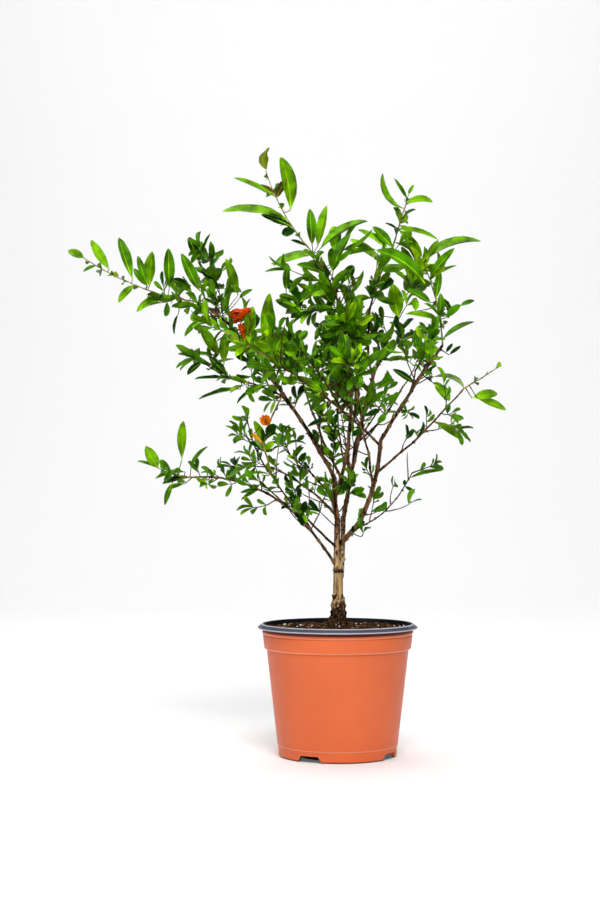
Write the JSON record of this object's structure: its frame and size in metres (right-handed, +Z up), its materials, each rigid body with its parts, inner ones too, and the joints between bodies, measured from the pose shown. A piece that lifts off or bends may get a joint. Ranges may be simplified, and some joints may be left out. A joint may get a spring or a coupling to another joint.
{
  "type": "potted pomegranate tree",
  "caption": "Young pomegranate tree with an open, lopsided leafy crown and a few orange flowers, in a round terracotta plastic nursery pot with a black rim.",
  "frame": {"origin": "centre of the pot's flat underside", "axes": "+Z up along the pot's axis, -Y towards the front as in the picture, +X to the right"},
  "size_m": [0.4717, 0.2699, 0.6481],
  "materials": {
    "pot_plastic": "satin terracotta-coloured moulded plastic",
    "rim_plastic": "satin black moulded plastic",
    "soil": "loose dark potting mix with bark bits and perlite",
    "bark": "thin rough brown bark",
    "foliage": "smooth, slightly glossy green leaves",
    "blossom": "waxy orange calyx and petals"
  },
  "bodies": {
    "root": {"bough_back": "bark", "bough_back_left": "bark", "bough_back_right": "bark", "bough_cross": "bark", "bough_front": "bark", "bough_front_right": "bark", "bough_left": "bark", "bough_left_side": "bark", "bough_left_upper": "bark", "bough_low_back": "bark", "bough_low_inner": "bark", "bough_low_left": "bark", "bough_low_right": "bark", "bough_low_upper": "bark", "bough_right": "bark", "bough_right_outer": "bark", "bough_right_upper": "bark", "bough_top": "bark", "bough_top_right": "bark", "leader": "bark", "leaves_back": "foliage", "leaves_back_left": "foliage", "leaves_back_right": "foliage", "leaves_cross_tip": "foliage", "leaves_fork": "foliage", "leaves_front": "foliage", "leaves_front_right": "foliage", "leaves_left_flower": "foliage", "leaves_left_side": "foliage", "leaves_left_tip": "foliage", "leaves_low_back": "foliage", "leaves_low_flower": "foliage", "leaves_low_left_tip": "foliage", "leaves_low_middle": "foliage", "leaves_low_right": "foliage", "leaves_low_under": "foliage", "leaves_low_upper": "foliage", "leaves_middle": "foliage", "leaves_middle_back": "foliage", "leaves_middle_high": "foliage", "leaves_middle_left": "foliage", "leaves_right_back": "foliage", "leaves_right_inner": "foliage", "leaves_right_low": "foliage", "leaves_right_middle": "foliage", "leaves_right_shoot": "foliage", "leaves_right_tip": "foliage", "leaves_top": "foliage", "leaves_top_left": "foliage", "leaves_top_right": "foliage", "leaves_upper_left": "foliage", "leaves_upper_middle": "foliage", "pot": "pot_plastic", "pot_rim": "rim_plastic", "soil": "soil", "stem_middle": "bark", "stem_right": "bark", "stem_right_upper": "bark", "trunk": "bark"}
  },
  "joints": []
}
